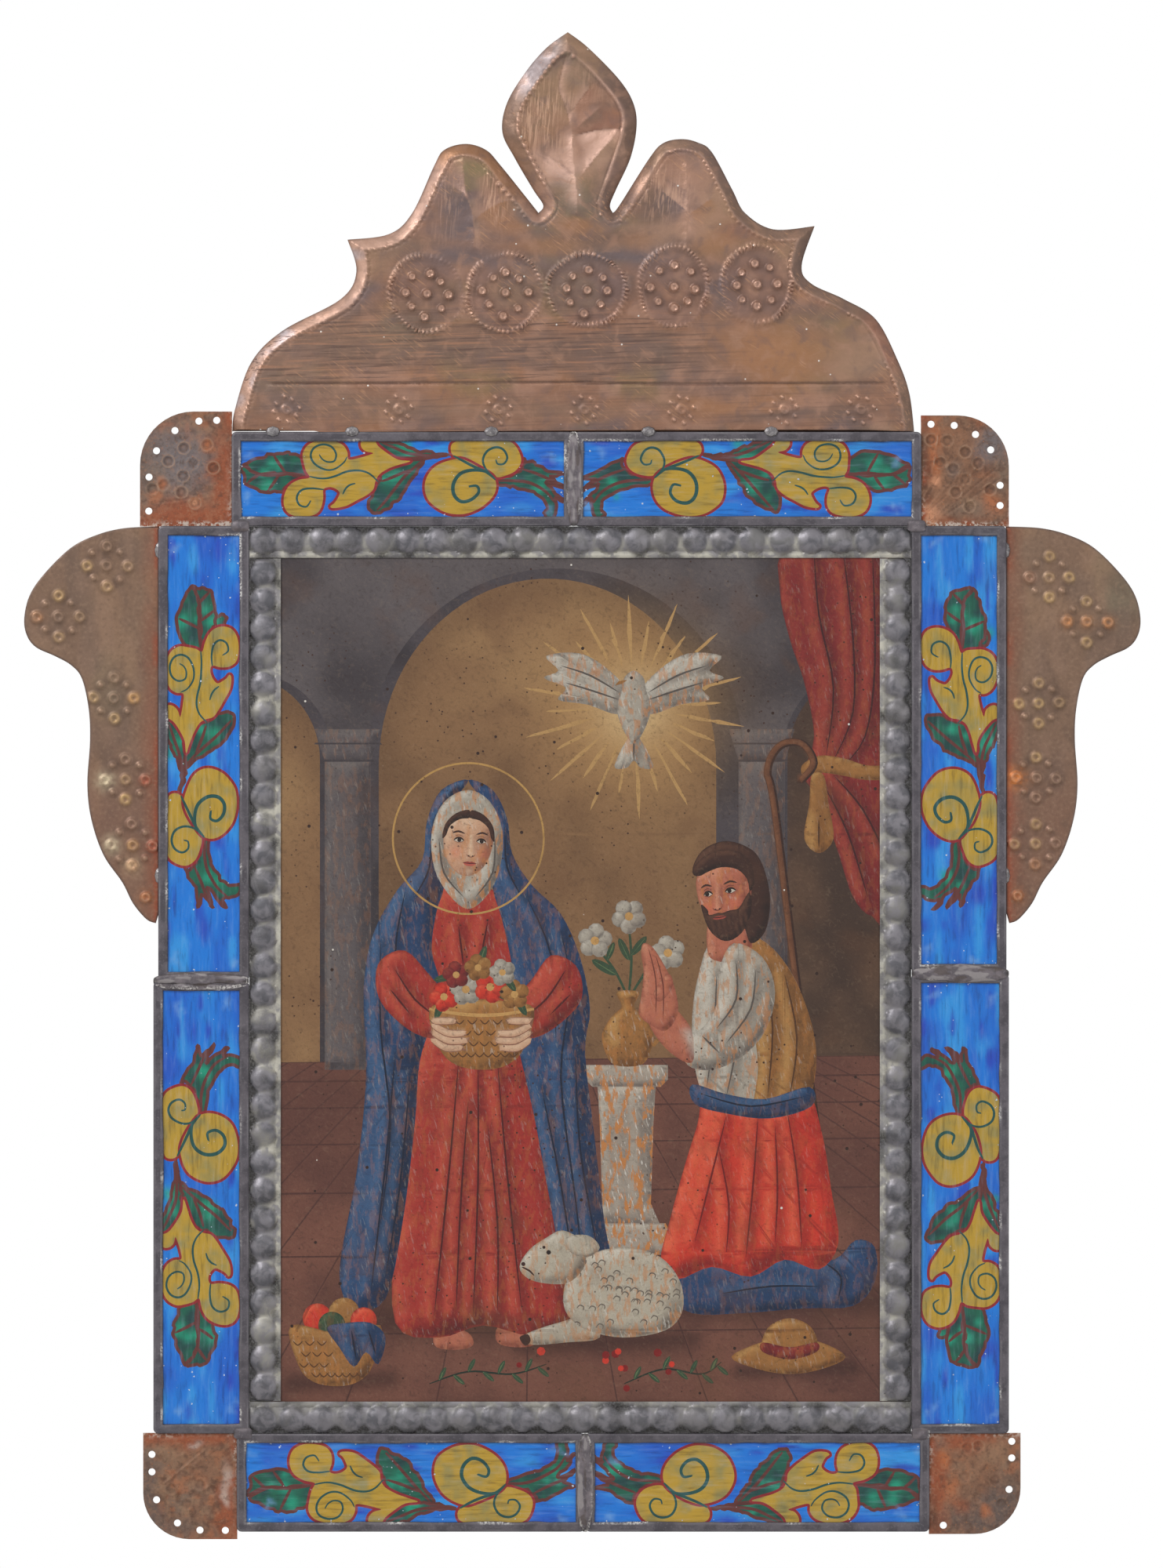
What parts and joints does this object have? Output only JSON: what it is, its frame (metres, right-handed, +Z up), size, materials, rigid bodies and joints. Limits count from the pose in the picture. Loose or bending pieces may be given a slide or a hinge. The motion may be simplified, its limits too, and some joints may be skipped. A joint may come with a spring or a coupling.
{
  "type": "framed retablo painting",
  "caption": "Framed folk oil painting on tin, in soldered came with reverse-painted glass panes, beaded mouldings, pierced corner fans, side ears and a raised copper crest; hangs by a ring.",
  "frame": {"origin": "the nail that the hanging ring goes over, on the face of the wall", "axes": "+X to the right as seen from the front, +Z up, the front faces -Y and the wall is the plane y = 0"},
  "size_m": [0.4585, 0.0112, 0.6192],
  "materials": {
    "copper": "brushed copper with brown, grey and olive patina",
    "ear_tin": "aged brown tin with rust at the bosses",
    "rusty_tin": "thin rusty tin with pale residue",
    "back_tin": "dull grey tin with brown stains",
    "lead_came": "dull lead",
    "pewter_moulding": "grey tin with cream corrosion in the hollows",
    "solder": "dull bright solder",
    "oil_painting": "old oil paint with pits and chips",
    "painted_glass": "glass painted behind in blue, ochre and green",
    "iron_wire": "dull iron wire"
  },
  "bodies": {
    "frame": {"painting_panel": "oil_painting", "back_plate": "back_tin", "beaded_moulding_top": "pewter_moulding", "beaded_moulding_bottom": "pewter_moulding", "beaded_moulding_left": "pewter_moulding", "beaded_moulding_right": "pewter_moulding", "came_top_left": "lead_came", "came_top_right": "lead_came", "came_bottom_left": "lead_came", "came_bottom_right": "lead_came", "came_left_upper": "lead_came", "came_left_lower": "lead_came", "came_right_upper": "lead_came", "came_right_lower": "lead_came", "glass_top_left": "painted_glass", "glass_top_right": "painted_glass", "glass_bottom_left": "painted_glass", "glass_bottom_right": "painted_glass", "glass_left_upper": "painted_glass", "glass_left_lower": "painted_glass", "glass_right_upper": "painted_glass", "glass_right_lower": "painted_glass", "backing_top_left": "back_tin", "backing_top_right": "back_tin", "backing_bottom_left": "back_tin", "backing_bottom_right": "back_tin", "backing_left_upper": "back_tin", "backing_left_lower": "back_tin", "backing_right_upper": "back_tin", "backing_right_lower": "back_tin", "corner_fan_top_left": "rusty_tin", "corner_fan_top_right": "rusty_tin", "corner_fan_bottom_left": "rusty_tin", "corner_fan_bottom_right": "rusty_tin", "ear_left": "ear_tin", "ear_right": "ear_tin", "crest": "copper", "crest_solder_1": "solder", "crest_solder_2": "solder", "crest_solder_3": "solder", "crest_solder_4": "solder", "crest_solder_5": "solder", "ear_solder_left_1": "solder", "ear_solder_left_2": "solder", "ear_solder_right_1": "solder", "ear_solder_right_2": "solder", "ring_strap": "back_tin"},
    "ring": {"hanging_ring": "iron_wire"}
  },
  "joints": [
    {"name": "ring_swing", "type": "hinge", "parent": "frame", "child": "ring", "pos_m": [0, -0.00209, -0.0195], "axis": [1, 0, 0], "range_deg": [0, 175]}
  ]
}
